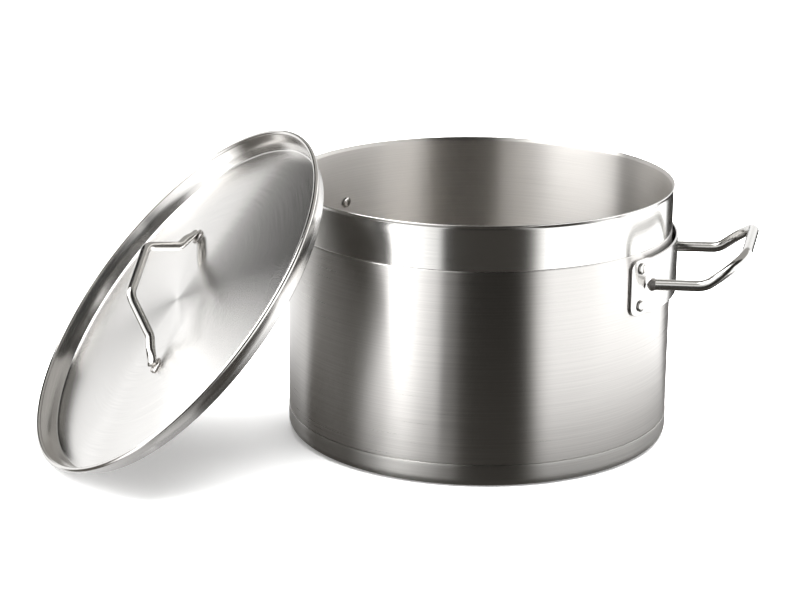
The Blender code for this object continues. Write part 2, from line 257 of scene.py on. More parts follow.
def steel(name, colour, roughness, spread, line_width, line_depth, unevenness=0.12, grain=0.06):
    """Metal whose grinding lines run along u.

    spread is the anisotropy, line_width the lines' pitch in metres, line_depth the bump's height.
    unevenness and grain are the fractions by which roughness and colour vary about their means.
    """
    material = bpy.data.materials.new(name)
    material.use_nodes = True
    nodes, links = material.node_tree.nodes, material.node_tree.links
    shader = nodes["Principled BSDF"]
    shader.inputs["Metallic"].default_value = 1.0
    shader.inputs["Anisotropic"].default_value = spread
    shader.inputs["Anisotropic Rotation"].default_value = 0.25
    tangent = nodes.new("ShaderNodeTangent")
    tangent.direction_type = "UV_MAP"
    tangent.uv_map = "lines"
    links.new(tangent.outputs["Tangent"], shader.inputs["Tangent"])

    lengths = nodes.new("ShaderNodeUVMap")
    lengths.uv_map = "lines"
    stretch = nodes.new("ShaderNodeMapping")
    stretch.inputs["Scale"].default_value = (1 / LINE_STRETCH / line_width, 1 / line_width, 1)
    links.new(lengths.outputs["UV"], stretch.inputs["Vector"])
    lines = nodes.new("ShaderNodeTexNoise")
    lines.inputs["Scale"].default_value = 1.0
    lines.inputs["Detail"].default_value = 3.0
    lines.inputs["Roughness"].default_value = 0.6
    links.new(stretch.outputs["Vector"], lines.inputs["Vector"])

    place = nodes.new("ShaderNodeTexCoord")
    broad = nodes.new("ShaderNodeTexNoise")
    broad.inputs["Scale"].default_value = 9.0
    broad.inputs["Detail"].default_value = 2.0
    links.new(place.outputs["Object"], broad.inputs["Vector"])
    both = nodes.new("ShaderNodeMath")
    both.operation = "MULTIPLY_ADD"
    both.inputs[1].default_value = 0.5
    links.new(broad.outputs["Fac"], both.inputs[0])
    links.new(lines.outputs["Fac"], both.inputs[2])
    vary = nodes.new("ShaderNodeMapRange")
    vary.inputs["From Min"].default_value = 0.35
    vary.inputs["From Max"].default_value = 1.15
    vary.inputs["To Min"].default_value = roughness * (1 - unevenness)
    vary.inputs["To Max"].default_value = roughness * (1 + unevenness)
    links.new(both.outputs["Value"], vary.inputs["Value"])
    links.new(vary.outputs["Result"], shader.inputs["Roughness"])

    shades = nodes.new("ShaderNodeMix")
    shades.data_type = "RGBA"
    shades.inputs["A"].default_value = (*(c * (1 - 2 * grain) for c in colour), 1)
    shades.inputs["B"].default_value = (*(min(c * (1 + 2 * grain), 1) for c in colour), 1)
    links.new(lines.outputs["Fac"], shades.inputs["Factor"])
    links.new(shades.outputs["Result"], shader.inputs["Base Color"])

    bump = nodes.new("ShaderNodeBump")
    bump.inputs["Strength"].default_value = 1.0
    bump.inputs["Distance"].default_value = line_depth
    links.new(lines.outputs["Fac"], bump.inputs["Height"])
    links.new(bump.outputs["Normal"], shader.inputs["Normal"])
    return material


wall_ground = steel("wall_ground", (0.66, 0.645, 0.625), 0.30, 1.0, 1.3 * MM, 0.004 * MM, 0.16, 0.09)
band_buffed = steel("band_buffed", (0.70, 0.69, 0.67), 0.18, 0.6, 1.5 * MM, 0.001 * MM)
inside_ground = steel("inside_ground", (0.66, 0.64, 0.615), 0.35, 1.0, 1.0 * MM, 0.004 * MM)
cap_turned = steel("cap_turned", (0.62, 0.61, 0.59), 0.32, 1.0, 1.1 * MM, 0.010 * MM, 0.2)
plate_satin = steel("plate_satin", (0.68, 0.67, 0.655), 0.20, 0.3, 0.8 * MM, 0.002 * MM)
tube_buffed = steel("tube_buffed", (0.60, 0.59, 0.57), 0.16, 0.3, 0.8 * MM, 0.001 * MM)
weld_steel = steel("weld_steel", (0.58, 0.56, 0.54), 0.38, 0.0, 0.9 * MM, 0.05 * MM)
lid_satin = steel("lid_satin", (0.69, 0.68, 0.665), 0.20, 1.0, 0.9 * MM, 0.004 * MM)
lid_edge = steel("lid_edge", (0.68, 0.665, 0.645), 0.19, 0.8, 0.9 * MM, 0.003 * MM)
core_metal = steel("core_metal", (0.78, 0.78, 0.79), 0.45, 0.4, 1.2 * MM, 0.006 * MM)
print("steel finishes:", len(bpy.data.materials))

# %% [markdown]
# ## The shell
# The shell is drawn from one disc of 1.2 mm sheet: a flat floor, a small corner, a straight wall and a
# lip that turns out a little so that it pours and doesn't cut. A fine line is rolled into the wall below
# the lip. Above it the wall is buffed bright, below it the wall is belt-ground, and the inside is ground.
# The wall is one function of height, given its thickness on both sides, which keeps the gauge true.

# %% Wall of the shell
LIP_DEPTH = 4 * MM
BAND_LINE = 198.7 * MM
BAND_LINE_DEPTH = 0.35 * MM
BAND_LINE_WIDTH = 1.6 * MM
SHELL_CORNER = 6 * MM
GAP = 0.3 * MM
NECK_STEP = 0.6 * MM
BLEND_DROP = 1 * MM
BLEND = 4 * MM
neck = CAP_RADIUS - CAP_SHEET - GAP


def ease(t):
    """0 below 0, 1 above 1, and a smooth S between."""
    t = np.clip(t, 0, 1)
    return t * t * (3 - 2 * t)


def wall_outside(z):
    """Radius of the wall's outside: the neck, the full radius above the cap, and the lip's turn-out.

    A cosine groove BAND_LINE_WIDTH wide is taken out at the rolled line.
    """
    r = neck + (POT_RADIUS - neck) * ease((z - CAP_HEIGHT - GAP) / NECK_STEP)
    r = r + LIP_FLARE * ease((z - POT_HEIGHT + LIP_DEPTH) / LIP_DEPTH)
    across = np.clip((z - BAND_LINE) / BAND_LINE_WIDTH, -0.5, 0.5)
    return r - BAND_LINE_DEPTH * np.cos(across * math.pi) ** 2


def wall_inside(z):
    """Radius of the wall's inside, a sheet's thickness in, with the neck's step eased over BLEND."""
    r = neck + (POT_RADIUS - neck) * ease((z - CAP_HEIGHT + BLEND_DROP) / BLEND)
    return r - WALL + LIP_FLARE * ease((z - POT_HEIGHT + LIP_DEPTH) / LIP_DEPTH)


# %% The shell, turned
lip_top = POT_HEIGHT - WALL / 2
rise = np.concatenate([np.linspace(FLOOR_LOW + SHELL_CORNER, CAP_HEIGHT, 5),
                       CAP_HEIGHT + GAP + np.linspace(0, 1, 5) * NECK_STEP,
                       np.linspace(CAP_HEIGHT + BLEND, BAND_LINE - BAND_LINE_WIDTH, 40),
                       BAND_LINE + np.linspace(-0.5, 0.5, 11) * BAND_LINE_WIDTH,
                       np.linspace(BAND_LINE + BAND_LINE_WIDTH, POT_HEIGHT - LIP_DEPTH, 12),
                       np.linspace(POT_HEIGHT - LIP_DEPTH, lip_top, 9)[1:]])
fall = np.concatenate([np.linspace(lip_top, POT_HEIGHT - LIP_DEPTH, 9),
                       np.linspace(POT_HEIGHT - LIP_DEPTH, CAP_HEIGHT + BLEND, 40)[1:],
                       np.linspace(CAP_HEIGHT + BLEND, FLOOR_LOW + SHELL_CORNER, 8)[1:]])
lip_middle = wall_outside(lip_top) - WALL / 2
shell_profile = np.vstack([
    [(0, FLOOR_LOW), (neck * 0.5, FLOOR_LOW)],
    arc((neck - SHELL_CORNER, FLOOR_LOW + SHELL_CORNER), SHELL_CORNER, -90, 0),
    np.stack([wall_outside(rise), rise], 1)[1:],
    arc((lip_middle, lip_top), WALL / 2, 0, 180)[1:-1],
    np.stack([wall_inside(fall), fall], 1),
    arc((neck - SHELL_CORNER, FLOOR_LOW + SHELL_CORNER), SHELL_CORNER - WALL, 0, -90)[1:],
    [(neck * 0.5, FLOOR_LOW + WALL), (0, FLOOR_LOW + WALL)],
])
heights = (shell_profile[:-1, 1] + shell_profile[1:, 1]) / 2
FLOOR_ROWS, CORNER_ROWS, HALF_LIP_ROWS = 2, 8, 4
outside = np.arange(len(heights)) < FLOOR_ROWS + CORNER_ROWS + len(rise) + HALF_LIP_ROWS
shell_finish = np.where(outside, np.where(heights > BAND_LINE, 1, 0), 2)
points, lengths = turned(shell_profile, 360)
steel_piece("pot_shell", points, lengths, "pot", [wall_ground, band_buffed, inside_ground],
            ["pot_body"], shell_finish)

# %% [markdown]
# ## The clad bottom
# Steel alone heats unevenly, so an aluminium disc sits under the floor, and a shallow steel cap is
# pressed over it. From outside only the cap's rim shows, a hair proud of the wall, with a generous
# corner where it meets the stove. Its edge is turned, so its lines are coarser than the wall's. The disc
# can't be seen at all: the engineering solid already has the right shape and only gets its metal.

# %% The bottom cap
CAP_CORNER = 8 * MM
EDGE = 0.3 * MM
cap_profile = np.vstack([
    [(0, 0), (CAP_RADIUS * 0.5, 0)],
    arc((CAP_RADIUS - CAP_CORNER, CAP_CORNER), CAP_CORNER, -90, 0, 14),
    np.stack([np.full(4, CAP_RADIUS), np.linspace(CAP_CORNER + 3 * MM, CAP_HEIGHT - EDGE, 4)], 1),
    arc((CAP_RADIUS - EDGE, CAP_HEIGHT - EDGE), EDGE, 0, 90, 4)[1:],
    arc((CAP_RADIUS - CAP_SHEET + EDGE, CAP_HEIGHT - EDGE), EDGE, 90, 180, 4),
    arc((CAP_RADIUS - CAP_CORNER, CAP_CORNER), CAP_CORNER - CAP_SHEET, 0, -90, 10),
    [(CAP_RADIUS * 0.5, CAP_SHEET), (0, CAP_SHEET)],
])
points, lengths = turned(cap_profile, 360)
steel_piece("bottom_cap", points, lengths, "pot", [cap_turned], ["base_cap"])
core = frame["nodes"]["base_core"]
core.data.materials.clear()
core.data.materials.append(core_metal)

# %% [markdown]
# ## Handle plates
# Each tube handle is welded to a plate that wraps round the wall. Its two ends lie on the wall and are
# riveted, and its middle is pressed outwards so that the rivets carry the load and not the weld. The
# plate is a loop of cross-section carried round the pot: the loop's corners are tiny arcs, its height
# shrinks round the corners, and the middle is lifted by the same S-curve as everything that is pressed.

# %% Plate surface
BRACKET_SHEET = 2.0 * MM
BRACKET_LOW, BRACKET_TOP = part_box("bracket_right")[0].z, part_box("bracket_right")[1].z
BRACKET_MID = (BRACKET_LOW + BRACKET_TOP) / 2
BRACKET_HALF = (BRACKET_TOP - BRACKET_LOW) / 2
BRACKET_HALF_ANGLE = math.asin(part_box("bracket_right")[1].y / (POT_RADIUS + GAP + BRACKET_SHEET))
BRACKET_CORNER = 9 * MM
SADDLE_RISE = 3.4 * MM
SADDLE_FLAT, SADDLE_FOOT = math.radians(22.2), math.radians(24.4)
ROUND = 0.35 * MM


def saddle(angle):
    """Inner radius of the plate: on the wall at its ends, SADDLE_RISE higher between them."""
    lift = ease((SADDLE_FOOT - np.abs(angle)) / (SADDLE_FOOT - SADDLE_FLAT))
    return POT_RADIUS + GAP + SADDLE_RISE * lift


def plate_grid(azimuth):
    """Stations round the pot times a closed loop round the sheet's section.

    Near each end the half height drops along a circle of BRACKET_CORNER, and in the last ROUND of
    length the loop also closes along a circle of that size, which rounds the cut edge.
    """
    corner = BRACKET_CORNER / POT_RADIUS
    tip = ROUND / POT_RADIUS
    end = BRACKET_HALF_ANGLE
    bow = end - corner * (1 - np.cos(np.radians(np.linspace(0, 90, 22))))[::-1]
    edge = end - tip * (1 - np.sin(np.radians(np.linspace(0, 90, 7))))
    side = np.unique(np.concatenate([np.linspace(0, SADDLE_FLAT, 22),
                                     np.linspace(SADDLE_FLAT, SADDLE_FOOT, 16), bow, edge]))
    angle = np.concatenate([-side[::-1], side[1:]])
    past = np.clip((np.abs(angle) - end + corner) / corner, 0, 1)
    half = BRACKET_HALF - BRACKET_CORNER * (1 - np.sqrt(1 - past ** 2))
    close = np.clip((np.abs(angle) - end + tip) / tip, 0, 1)
    shrink = ROUND * (1 - np.sqrt(1 - close ** 2))
    quarter = np.radians(np.linspace(0, 90, 5))
    turn = np.concatenate([quarter, quarter + math.pi / 2, quarter + math.pi, quarter + 1.5 * math.pi])
    sign_out = np.repeat([1, -1, -1, 1], 5)
    sign_up = np.repeat([1, 1, -1, -1], 5)
    r = np.maximum(ROUND - shrink, 0)[:, None]
    thick = (BRACKET_SHEET / 2 - ROUND) * np.ones_like(r)
    tall = (half - ROUND)[:, None]
    out = saddle(angle)[:, None] + BRACKET_SHEET / 2 + sign_out * thick + r * np.cos(turn)
    up = sign_up * tall + r * np.sin(turn)
    out, up = np.hstack([out, out[:, :1]]), np.hstack([up, up[:, :1]])
    a = (azimuth + angle)[:, None]
    points = np.stack([out * np.cos(a), out * np.sin(a), BRACKET_MID + up], -1)
    lengths = np.stack([POT_RADIUS * angle[:, None] + 0 * up, up], -1)
    ends = [row.mean(1, keepdims=True) + 0 * row for row in (points[:1], points[-1:])]
    points = np.concatenate([ends[0], points, ends[1]])
    lengths = np.concatenate([lengths[:1], lengths, lengths[-1:]])
    return points, lengths


for side, azimuth in HANDLE_AZIMUTHS.items():
    points, lengths = plate_grid(azimuth)
    steel_piece("plate_" + side, points, lengths, "pot", [plate_satin],
                ["bracket_" + side])

# %% [markdown]
# ## Bent bars and tubes
# The handles are bent from round tube and the lid's handle from solid rod. Both are a circle carried
# along a line with rounded corners. The circle is held upright by one fixed direction that the line
# never runs along, so it doesn't twist, and the whole sweep is three array operations.


# %% Sweep along a line
def directions(path):
    """Unit direction of travel at each point, from its two neighbours."""
    step = np.gradient(path, axis=0)
    return step / np.linalg.norm(step, axis=1, keepdims=True)


def refined(path, spacing):
    """The same line with points no further apart than spacing."""
    s = run_length(path)
    keep = np.unique(np.concatenate([s, np.linspace(0, s[-1], int(s[-1] / spacing) + 2)]).round(7))
    return np.stack([np.interp(keep, s, path[:, k]) for k in range(3)], 1)


def swept(path, steady, radii, sides=40, wide=1.0, flat=1.0):
    """Each ring is path + radius (wide cos a across + flat sin a up).

    across is steady x travel and up is travel x across.
    """
    travel = directions(path)
    across = np.cross(steady, travel)
    across /= np.linalg.norm(across, axis=1, keepdims=True)
    up = np.cross(travel, across)
    a = np.linspace(0, 2 * math.pi, sides + 1)
    radii, wide, flat = (np.broadcast_to(x, len(path))[:, None, None] for x in (radii, wide, flat))
    ring = (wide * np.cos(a)[None, :, None] * across[:, None]
            + flat * np.sin(a)[None, :, None] * up[:, None])
    points = path[:, None] + radii * ring
    along = np.broadcast_to(run_length(path)[:, None], points.shape[:2])
    around = np.broadcast_to(a * float(np.max(radii)), points.shape[:2])
    return points, np.stack([along, around], -1)


# %% [markdown]
# ## Side handles
# A handle is one length of 10 mm tube, cut square at both ends. It leaves the plate nearly level, turns
# up at about forty degrees so that knuckles clear the hot wall, and crosses over between two easy bends.
# The tube is open at its ends, so its skin goes along the outside, over the cut lip and back inside.

# %% Line of a side handle
TUBE_RADIUS = 5.0 * MM
TUBE_BORE = 3.8 * MM
ARM_HALF_SPAN = 68.9 * MM
ARM_START = 174.8 * MM
ARM_BEND = 219.2 * MM
ARM_PITCH = math.radians(2.15)
SLOPE_PITCH = math.radians(37.6)
SLOPE_LENGTH = 42.1 * MM
ARM_BEND_RADIUS = 22 * MM
CROSSBAR_CORNER = 30 * MM


def handle_axes(azimuth):
    """The directions out from the wall, along it, and up, at one place round the pot."""
    out = np.array([math.cos(azimuth), math.sin(azimuth), 0])
    return out, np.array([-out[1], out[0], 0]), np.array([0, 0, 1.0])


def handle_line(azimuth):
    """Six corners in the handle's own plan (out, along, up), rounded where the tube is bent."""
    bend_z = (ARM_BEND - ARM_START) * math.tan(ARM_PITCH)
    bar = ARM_BEND + SLOPE_LENGTH * math.cos(SLOPE_PITCH)
    bar_z = bend_z + SLOPE_LENGTH * math.sin(SLOPE_PITCH)
    arm = [(ARM_START, -ARM_HALF_SPAN, 0), (ARM_BEND, -ARM_HALF_SPAN, bend_z),
           (bar, -ARM_HALF_SPAN, bar_z)]
    corners = arm + [(r, -side, z) for r, side, z in reversed(arm)]
    radii = [ARM_BEND_RADIUS, CROSSBAR_CORNER, CROSSBAR_CORNER, ARM_BEND_RADIUS]
    plan = refined(rounded(corners, radii, 14), 3 * MM)
    return plan @ np.array(handle_axes(azimuth)) + np.array([0, 0, BRACKET_MID])


def open_tube(path, steady, radius, bore):
    """Outer skin there, bore back: the two skins share the cut rims, and the last ring meets the first."""
    lip = 0.25 * MM
    travel = directions(path)
    first, last = path[:1] + travel[:1] * lip, path[-1:] - travel[-1:] * lip
    there = np.vstack([path[:1], first, path[1:-1], last, path[-1:]])
    outer = np.full(len(there), radius)
    inner = np.full(len(there), bore)
    outer[[0, -1]] -= lip
    inner[[0, -1]] += lip
    skin, lengths = swept(there, steady, outer)
    hole, hole_lengths = swept(there, steady, inner)
    points = np.concatenate([skin, hole[::-1], skin[:1]])
    lengths = np.concatenate([lengths, hole_lengths[::-1], lengths[:1]])
    return points, lengths


for side, azimuth in HANDLE_AZIMUTHS.items():
    out, along, up = handle_axes(azimuth)
    steady = up * math.cos(SLOPE_PITCH) - out * math.sin(SLOPE_PITCH)
    points, lengths = open_tube(handle_line(azimuth), steady, TUBE_RADIUS, TUBE_BORE)
    steel_piece("tube_handle_" + side, points, lengths, "pot", [tube_buffed],
                ["handle_" + side])

# %% [markdown]
# ## Welds on the plates
# The square tube end meets the round plate at an angle, and the welder fills the wedge that is left. The
# bead is a ring between the cut face and the plate, a little wider at its foot, where a fine ripple from
# each dab of filler runs round it.


# %% Weld beads
WELD_FOOT = 0.9 * MM
DABS, DAB_HEIGHT = 13, 0.12
PROUD = 0.1 * MM
INSET = 0.15 * MM


def weld_grid(azimuth, side):
    """A ring that fills the wedge between one tube end and the plate.

    For each angle round the tube, the section runs from the bore, down to the plate, out to the bead's
    foot, up in a shallow hollow to the cut end's rim, and back in over the cut face.
    """
    up = handle_axes(azimuth)[2]
    line = handle_line(azimuth)
    if side < 0:
        start, travel = line[0], directions(line)[0]
    else:
        start, travel = line[-1], -directions(line)[-1]
    across = np.cross(travel, up)
    across /= np.linalg.norm(across)
    upright = np.cross(across, travel)
    a = np.linspace(0, 2 * math.pi, 73)
    ring = np.cos(a)[:, None] * across + np.sin(a)[:, None] * upright
    face = POT_RADIUS + GAP + SADDLE_RISE + BRACKET_SHEET + 0.02 * MM

    def on_plate(radius):
        """Where lines of the arm's direction, radius from its centreline, meet the plate's outside."""
        spot = start + radius * ring
        a2 = travel[:2] @ travel[:2]
        b2 = spot[:, :2] @ travel[:2]
        c2 = (spot[:, :2] ** 2).sum(1) - face ** 2
        reach = (-b2 + np.sqrt(np.maximum(b2 ** 2 - a2 * c2, 0))) / a2
        return spot + np.minimum(reach, 0)[:, None] * travel

    dabs = (WELD_FOOT * (1 + DAB_HEIGHT * np.sin(DABS * a)))[:, None]
    foot = on_plate(TUBE_RADIUS + dabs)
    rim = start + (TUBE_RADIUS - INSET) * ring + PROUD * travel
    t = np.linspace(0, 1, 9)[:, None, None]
    hollow = foot * 0.35 + rim * 0.65 - ring * PROUD
    flank = (1 - t) ** 2 * foot + 2 * t * (1 - t) * hollow + t ** 2 * rim
    bore_face = start + TUBE_BORE * ring + PROUD * travel
    bore_plate = on_plate(TUBE_BORE)
    return np.concatenate([bore_plate[None], flank, bore_face[None], bore_plate[None]])


for name, azimuth in HANDLE_AZIMUTHS.items():
    for number, side in ((1, -1), (2, 1)):
        points = weld_grid(azimuth, side)
        lengths = np.stack([points[..., 1] + points[..., 0], points[..., 2]], -1)
        steel_piece(f"weld_{name}_{number}", points, lengths, "pot", [weld_steel])

# %% [markdown]
# ## Rivets
# Four rivets hold each plate. Cold-set heads are shallow domes with a soft edge, one outside on the plate
# and one inside the pot. They are small turned pieces: the head's dome is an ellipse, and a quarter
# circle rolls its edge under.

# %% Rivet outline and places
RIVET_ANGLE = math.radians(26.5)
RIVET_HALF_PITCH = 17.4 * MM
RIVET_SHANK = 2.5 * MM
RIVET_HEAD = 5.3 * MM
RIVET_DOME = 2.5 * MM
ROLL = 0.45 * MM


def head_outline(seat, way):
    """From the pole to the seat: an ellipse over the head, then the rolled edge."""
    a = np.radians(np.linspace(90, 0, 16))
    dome = np.stack([(RIVET_HEAD - ROLL * 0.2) * np.cos(a),
                     seat + way * (ROLL + (RIVET_DOME - ROLL) * np.sin(a))], 1)
    b = np.radians(np.linspace(0, -90, 5))[1:]
    roll = np.stack([RIVET_HEAD - ROLL + (ROLL * 0.8) * np.cos(b),
                     seat + way * (ROLL + ROLL * np.sin(b))], 1)
    return np.vstack([dome, roll])


inside_seat = -(WALL + 1.5 * GAP)
outside_seat = GAP + BRACKET_SHEET + GAP
rivet_profile = np.vstack([head_outline(inside_seat, -1), [(RIVET_SHANK, inside_seat)],
                           [(RIVET_SHANK, outside_seat)], head_outline(outside_seat, 1)[::-1]])
for name, azimuth in HANDLE_AZIMUTHS.items():
    number = 0
    for dz in (RIVET_HALF_PITCH, -RIVET_HALF_PITCH):
        for da in (-RIVET_ANGLE, RIVET_ANGLE):
            number += 1
            out, along, up = handle_axes(azimuth + da)
            spot = POT_RADIUS * out + up * (BRACKET_MID + dz)
            points, lengths = turned(rivet_profile, 48, spot, np.array([along, up, out]))
            steel_piece(f"rivet_head_{name}_{number}", points, lengths, "pot", [tube_buffed],
                        [f"rivet_{name}_{number}"])

# %% [markdown]
# ## The lid
# The lid is pressed from one sheet. Its middle is a shallow dome, round it a wall stands up that drops
# into the pot, and the sheet's edge is rolled into a bead that sits on the lip. The dome is satin with
# lines that run in circles, left by an abrasive pad as the lid spins. Those circles give the wide fans
# of light and shade that every such lid shows. The wall and the bead are ground, lines running round.

# %% Outline of the lid
LID_PANEL_RADIUS = 176.6 * MM
LID_DOME = 11 * MM
BEAD_RING = 185.2 * MM
BEAD_HEIGHT = 16.1 * MM
BEAD_RADIUS = 2.4 * MM


def dome(r):
    """Height of the dome: LID_DOME at the middle, falling with the square of the radius."""
    return LID_DOME * (1 - (r / LID_PANEL_RADIUS) ** 2)


PANEL_ROWS, FOOT_STEPS = 60, 10
rp = LID_PANEL_RADIUS
flat_edge = rp - 4 * MM
spread = np.linspace(0, flat_edge, PANEL_ROWS)
top_foot = rounded([(flat_edge, dome(flat_edge)), (rp + 0.3 * MM, 0.1 * MM), (rp + 2.8 * MM, 9 * MM),
                    (rp + 6.2 * MM, 15.4 * MM)], [2.0 * MM, 30 * MM], FOOT_STEPS)
under_foot = rounded([(rp + 7.0 * MM, 14.6 * MM), (rp + 3.9 * MM, 8.8 * MM), (rp + 1.5 * MM, -LID_SHEET),
                      (flat_edge, dome(flat_edge) - LID_SHEET)], [30 * MM, 1.6 * MM], FOOT_STEPS)
bead = arc((BEAD_RING, BEAD_HEIGHT), BEAD_RADIUS, 197, -140, 26)
lid_profile = np.vstack([
    np.stack([spread, dome(spread)], 1)[:-1], top_foot, bead, under_foot[1:],
    np.stack([spread, dome(spread) - LID_SHEET], 1)[::-1][1:],
])
edge_rows = slice(PANEL_ROWS + FOOT_STEPS - 1, len(lid_profile) - PANEL_ROWS - FOOT_STEPS - 2)
lid_finish = np.zeros(len(lid_profile) - 1, int)
lid_finish[edge_rows] = 1
lid_axes = np.array([lid_level, lid_up, lid_out])
points, lengths = turned(lid_profile, 400, lid_origin, lid_axes)
steel_piece("lid_sheet", points, lengths, "lid", [lid_satin, lid_edge], ["lid_panel"],
            lid_finish)

# %% [markdown]
# ## The lid's handle
# The handle is one bent rod. Its ends are pressed a little flat so that they lie on the dome and give the
# weld something to bite on, then it rises in two steps to a straight grip.

# %% The rod
ROD_RADIUS = 4.4 * MM
ROD_TURN = math.radians(-45.7)
ROD_FOOT = 81.9 * MM
ROD_KNEE = 54.7 * MM
ROD_KNEE_RISE = 11.0 * MM
ROD_CORNER = 29.8 * MM
ROD_TOP_RISE = 43.4 * MM
ROD_OFFSET = -4 * MM
ROD_BEND = 13 * MM
PRESS_FULL, PRESS_FADE = 6 * MM, 12 * MM
PRESS_DEPTH = 0.9 * MM
PRESS_NARROW, PRESS_SPREAD = 0.24, 0.22
TIP_LENGTH = 2.2 * MM
foot_height = dome(ROD_FOOT) + ROD_RADIUS + 2 * GAP
leg = [(-ROD_FOOT, 0, foot_height), (-ROD_KNEE, 0, foot_height + ROD_KNEE_RISE),
       (-ROD_CORNER, 0, foot_height + ROD_TOP_RISE)]
rod_plan = rounded(leg + [(-x, y, z) for x, y, z in reversed(leg)], [ROD_BEND] * 4, 14)
rod_plan = refined(rod_plan, 1.2 * MM)
from_end = np.minimum(run_length(rod_plan), run_length(rod_plan)[-1] - run_length(rod_plan))
pressed = 1 - ease((from_end - PRESS_FULL) / PRESS_FADE)
tip = np.sqrt(np.clip(1 - (1 - np.clip(from_end / TIP_LENGTH, 0, 1)) ** 2, 0, 1))
rod_plan[:, 2] -= pressed * PRESS_DEPTH
turn = np.array([[math.cos(ROD_TURN), math.sin(ROD_TURN), 0],
                 [-math.sin(ROD_TURN), math.cos(ROD_TURN), 0], [0, 0, 1]])
rod_axes = turn @ lid_axes
rod_origin = lid_origin + ROD_OFFSET * lid_level
rod_line = rod_origin + rod_plan @ rod_axes
points, lengths = swept(rod_line, rod_axes[1], ROD_RADIUS * tip, 40,
                        1 - PRESS_NARROW * pressed, 1 + PRESS_SPREAD * pressed)
steel_piece("lid_rod", points, lengths, "lid", [tube_buffed], ["lid_handle"])


# %% Welds under the rod's feet
def weld_pool(middle, axes, size, waves):
    """A flattened ball: (size_x cos b cos a, size_y cos b sin a, size_z sin b), its plan radius wavy."""
    a = np.linspace(0, 2 * math.pi, 61)
    b = np.radians(np.linspace(-90, 90, 25))[:, None]
    wavy = 1 + 0.07 * np.sin(waves * a) + 0.04 * np.cos(2 * a)
    local = np.stack([size[0] * wavy * np.cos(b) * np.cos(a), size[1] * wavy * np.cos(b) * np.sin(a),
                      size[2] * np.sin(b) + 0 * a], -1)
    return middle + local @ axes, local[..., :2]


POOL_SIZE = (7.5 * MM, 6.2 * MM, 1.9 * MM)
POOL_INSET, POOL_RISE = 3 * MM, 0.9 * MM
for number, end in ((1, -1), (2, 1)):
    spot = np.array([end * (ROD_FOOT - POOL_INSET), 0, dome(ROD_FOOT) + POOL_RISE])
    points, lengths = weld_pool(rod_origin + spot @ rod_axes, rod_axes, POOL_SIZE, 5)
    steel_piece(f"rod_weld_{number}", points, lengths, "lid", [weld_steel])

# %% [markdown]
# ## The floor
# The pot stands on a plain pale floor that runs out of sight. A disc is enough, and a very faint mottle
# keeps it from being one flat colour. Polished steel shows whatever stands round it, so the floor is kept
# out of its reflections and the studio below does all the drawing.

# %% Floor
FLOOR_REACH = 16.0
bm = bmesh.new()
bmesh.ops.create_circle(bm, cap_ends=True, segments=96, radius=FLOOR_REACH)
floor_mesh = bpy.data.meshes.new("floor")
bm.to_mesh(floor_mesh)
bm.free()
floor = bpy.data.objects.new("floor", floor_mesh)
bpy.context.scene.collection.objects.link(floor)
floor.location.z = -0.1 * MM
floor.visible_glossy = False
paper = bpy.data.materials.new("pale_paper")
paper.use_nodes = True
paper_nodes, paper_links = paper.node_tree.nodes, paper.node_tree.links
paper_shader = paper_nodes["Principled BSDF"]
paper_shader.inputs["Roughness"].default_value = 0.9
paper_shader.inputs["Specular IOR Level"].default_value = 0.0
paper_shader.inputs["Emission Color"].default_value = (1, 1, 1, 1)
paper_shader.inputs["Emission Strength"].default_value = 0.22
mottle = paper_nodes.new("ShaderNodeTexNoise")
mottle.inputs["Scale"].default_value = 3.0
tone = paper_nodes.new("ShaderNodeMix")
tone.data_type = "RGBA"
tone.inputs["A"].default_value = (0.93, 0.93, 0.925, 1)
tone.inputs["B"].default_value = (0.95, 0.95, 0.95, 1)
where = paper_nodes.new("ShaderNodeTexCoord")
paper_links.new(where.outputs["Object"], mottle.inputs["Vector"])
paper_links.new(mottle.outputs["Fac"], tone.inputs["Factor"])
paper_links.new(tone.outputs["Result"], paper_shader.inputs["Base Color"])
floor_mesh.materials.append(paper)
floor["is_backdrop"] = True
print("floor reaches", FLOOR_REACH, "m")

# %% [markdown]
# ## The studio
# Bright metal is lit by what it reflects. The studio is painted on the world as a number of soft panels,
# each given by the compass range and the heights it covers: windows left and right, a pale background, a
# dark gap where someone stands in front of the pot, and darker patches between and above them. A panel is
# a smooth step up and a smooth step down in both angles, mixed over what is already there, so soft and
# hard edges are just wide and narrow steps. Lamps of the same shapes would do too, but each would need
# its own place and size, where a panel is one row of a table.

# %% Studio panels
scene = bpy.context.scene
world = bpy.data.worlds.new("studio")
scene.world = world
world.use_nodes = True
sky, sky_links = world.node_tree.nodes, world.node_tree.links
background = sky["Background"]
ray = sky.new("ShaderNodeTexCoord")
VIEW_AZIMUTH = 13.0
CAMERA_SIDE = math.radians(VIEW_AZIMUTH - 90)


def sky_math(operation, a, b=None):
    """One math node of the sky, each input a number or another node's output."""
    node = sky.new("ShaderNodeMath")
    node.operation = operation
    for socket, value in zip(node.inputs, (a, b)):
        if hasattr(value, "links"):
            sky_links.new(value, socket)
        elif value is not None:
            socket.default_value = value
    return node.outputs["Value"]


def along(direction):
    """The part of the looking direction that lies along a fixed direction."""
    node = sky.new("ShaderNodeVectorMath")
    node.operation = "DOT_PRODUCT"
    node.inputs[1].default_value = direction
    sky_links.new(ray.outputs["Generated"], node.inputs[0])
    return node.outputs["Value"]


to_camera = (math.cos(CAMERA_SIDE), math.sin(CAMERA_SIDE), 0)
to_right = (-math.sin(CAMERA_SIDE), math.cos(CAMERA_SIDE), 0)
bearing = sky_math("ARCTAN2", along(to_right), along(to_camera))
height = sky_math("ARCSINE", along((0, 0, 1)))


